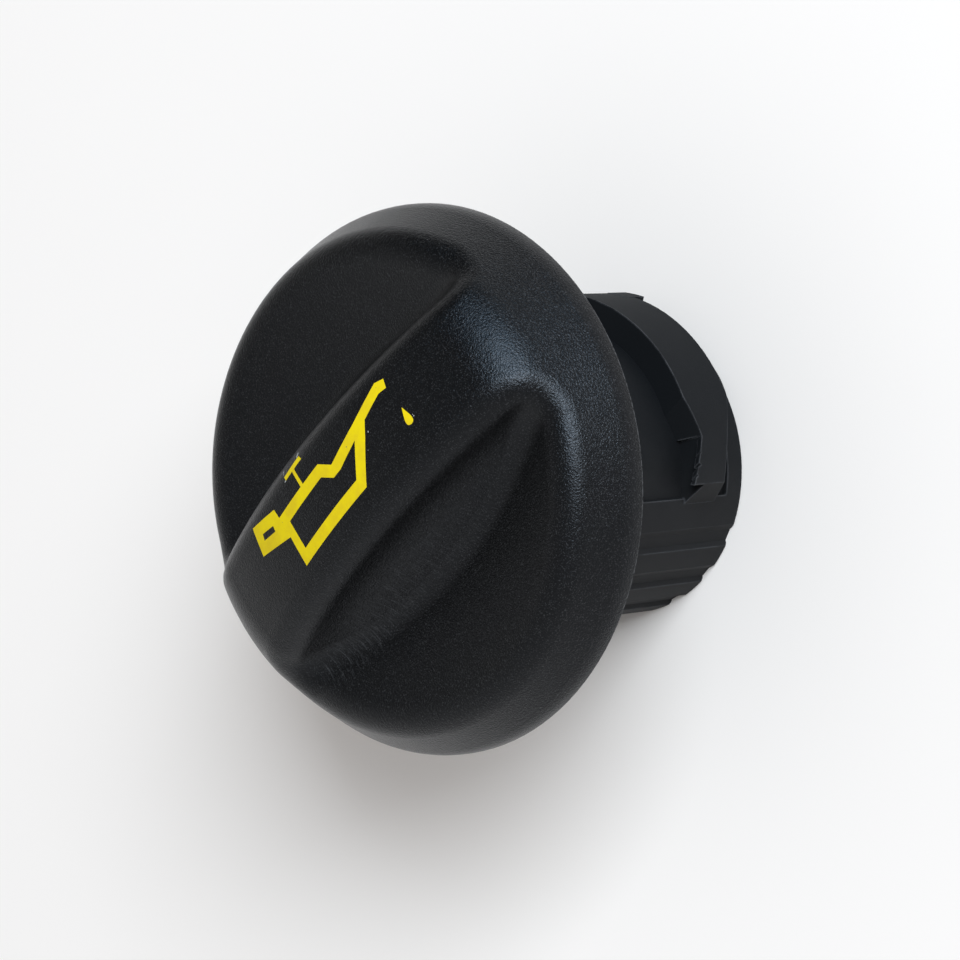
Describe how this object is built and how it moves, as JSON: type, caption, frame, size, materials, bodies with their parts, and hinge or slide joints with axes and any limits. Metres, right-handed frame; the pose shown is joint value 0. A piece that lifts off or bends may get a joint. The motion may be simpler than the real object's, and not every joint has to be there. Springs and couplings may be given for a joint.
{
  "type": "oil filler cap",
  "caption": "Moulded engine oil filler cap: domed head with a raised grip bar and finger scoops, over a hollow bayonet neck with locking lugs and a rubber seal.",
  "frame": {"origin": "on the cap's axis, in the plane of the seal's underside, which sits on the filler neck's rim", "axes": "+Z along the cap's axis out of the head's face, +X along the grip bar towards the bayonet lug with the nicked stop in the picture's view"},
  "size_m": [0.064, 0.064, 0.0524],
  "materials": {
    "black_nylon": "fine spark-eroded grain on the head, smooth satin on the neck",
    "seal_rubber": "matte"
  },
  "bodies": {
    "root": {"cap_body": "black_nylon", "seal_ring": "seal_rubber"}
  },
  "joints": []
}
